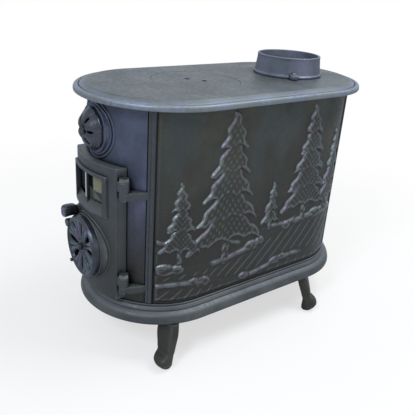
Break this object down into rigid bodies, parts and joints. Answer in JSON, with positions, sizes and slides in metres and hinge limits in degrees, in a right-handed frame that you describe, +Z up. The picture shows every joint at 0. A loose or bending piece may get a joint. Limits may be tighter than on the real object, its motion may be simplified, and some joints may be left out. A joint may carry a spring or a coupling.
{
  "type": "cast-iron wood stove",
  "caption": "Oval cast-iron box stove on splayed legs, with a curved door, turning air wheels, a lift-out hotplate lid and a round flue collar.",
  "frame": {"origin": "on the floor, under the middle of the stove's whole plan", "axes": "+Z up; the door faces -Y and the flue collar stands at the +Y end; +X is to the right of someone who faces the door"},
  "size_m": [0.4064, 0.7184, 0.6063],
  "materials": {
    "plate_iron": "stove-blacked cast iron, worn to a mid grey, with a sand-cast mottle",
    "shell_iron": "dark stove-blacked cast iron with a bluish sheen",
    "panel_iron": "dark cast iron with a relief, bluish where its edges catch the light",
    "fitting_iron": "polished stove-blacked cast iron",
    "grate_iron": "rough fire-darkened cast iron",
    "steel": "dull grey steel fasteners",
    "pan_steel": "grey sheet steel",
    "pane_glass": "heat-resistant glass, smoked olive",
    "rope": "braided glass-fibre rope",
    "firebrick": "buff firebrick"
  },
  "bodies": {
    "root": {"base_plate": "plate_iron", "leg_front_right": "fitting_iron", "leg_front_left": "fitting_iron", "leg_rear_right": "fitting_iron", "leg_rear_left": "fitting_iron", "leg_bolt_front_right": "steel", "leg_bolt_front_left": "steel", "leg_bolt_rear_right": "steel", "leg_bolt_rear_left": "steel", "front_shell": "shell_iron", "rear_shell": "shell_iron", "side_panel_right": "panel_iron", "side_panel_left": "panel_iron", "top_plate": "plate_iron", "flue_collar": "shell_iron", "collar_screw_1": "steel", "collar_screw_2": "steel", "tie_bolt_front_right": "steel", "tie_bolt_front_left": "steel", "tie_bolt_rear_right": "steel", "tie_bolt_rear_left": "steel", "hinge_pin_upper": "steel", "hinge_pin_lower": "steel", "upper_air_bolt": "steel", "upper_air_nut": "steel", "side_brick_right": "firebrick", "side_brick_left": "firebrick", "rear_brick": "firebrick", "grate": "grate_iron", "log_guard": "grate_iron", "baffle_plate": "grate_iron", "ash_pan": "pan_steel"},
    "door": {"door": "shell_iron", "door_rope_seal": "rope", "window_pane_right": "pane_glass", "window_pane_left": "pane_glass", "glass_clip_bottom": "steel", "glass_clip_top": "steel", "clip_screw_bottom_right": "steel", "clip_screw_bottom_left": "steel", "clip_screw_top_right": "steel", "clip_screw_top_left": "steel", "lower_air_bolt": "steel", "lower_air_nut": "steel"},
    "latch": {"latch_handle": "fitting_iron", "latch_cam": "steel"},
    "lower_wheel": {"lower_air_wheel": "fitting_iron"},
    "upper_wheel": {"upper_air_wheel": "fitting_iron"},
    "lid": {"hotplate_lid": "plate_iron"}
  },
  "joints": [
    {"name": "door_hinge", "type": "hinge", "parent": "root", "child": "door", "pos_m": [0.096, -0.2988, 0.28], "axis": [0, 0, 1], "range_deg": [0, 110]},
    {"name": "latch_turn", "type": "hinge", "parent": "door", "child": "latch", "pos_m": [-0.058, -0.3268, 0.29], "axis": [0, -1, 0], "range_deg": [0, 90]},
    {"name": "lower_air_turn", "type": "hinge", "parent": "door", "child": "lower_wheel", "pos_m": [0, -0.335, 0.2345], "axis": [0, -1, 0], "range_deg": [0, 22.5]},
    {"name": "upper_air_turn", "type": "hinge", "parent": "root", "child": "upper_wheel", "pos_m": [0, -0.314, 0.4827], "axis": [0, -1, 0], "range_deg": [0, 30]},
    {"name": "lid_lift", "type": "slide", "parent": "root", "child": "lid", "axis": [0, 0, 1], "range_m": [0, 0.12]}
  ]
}
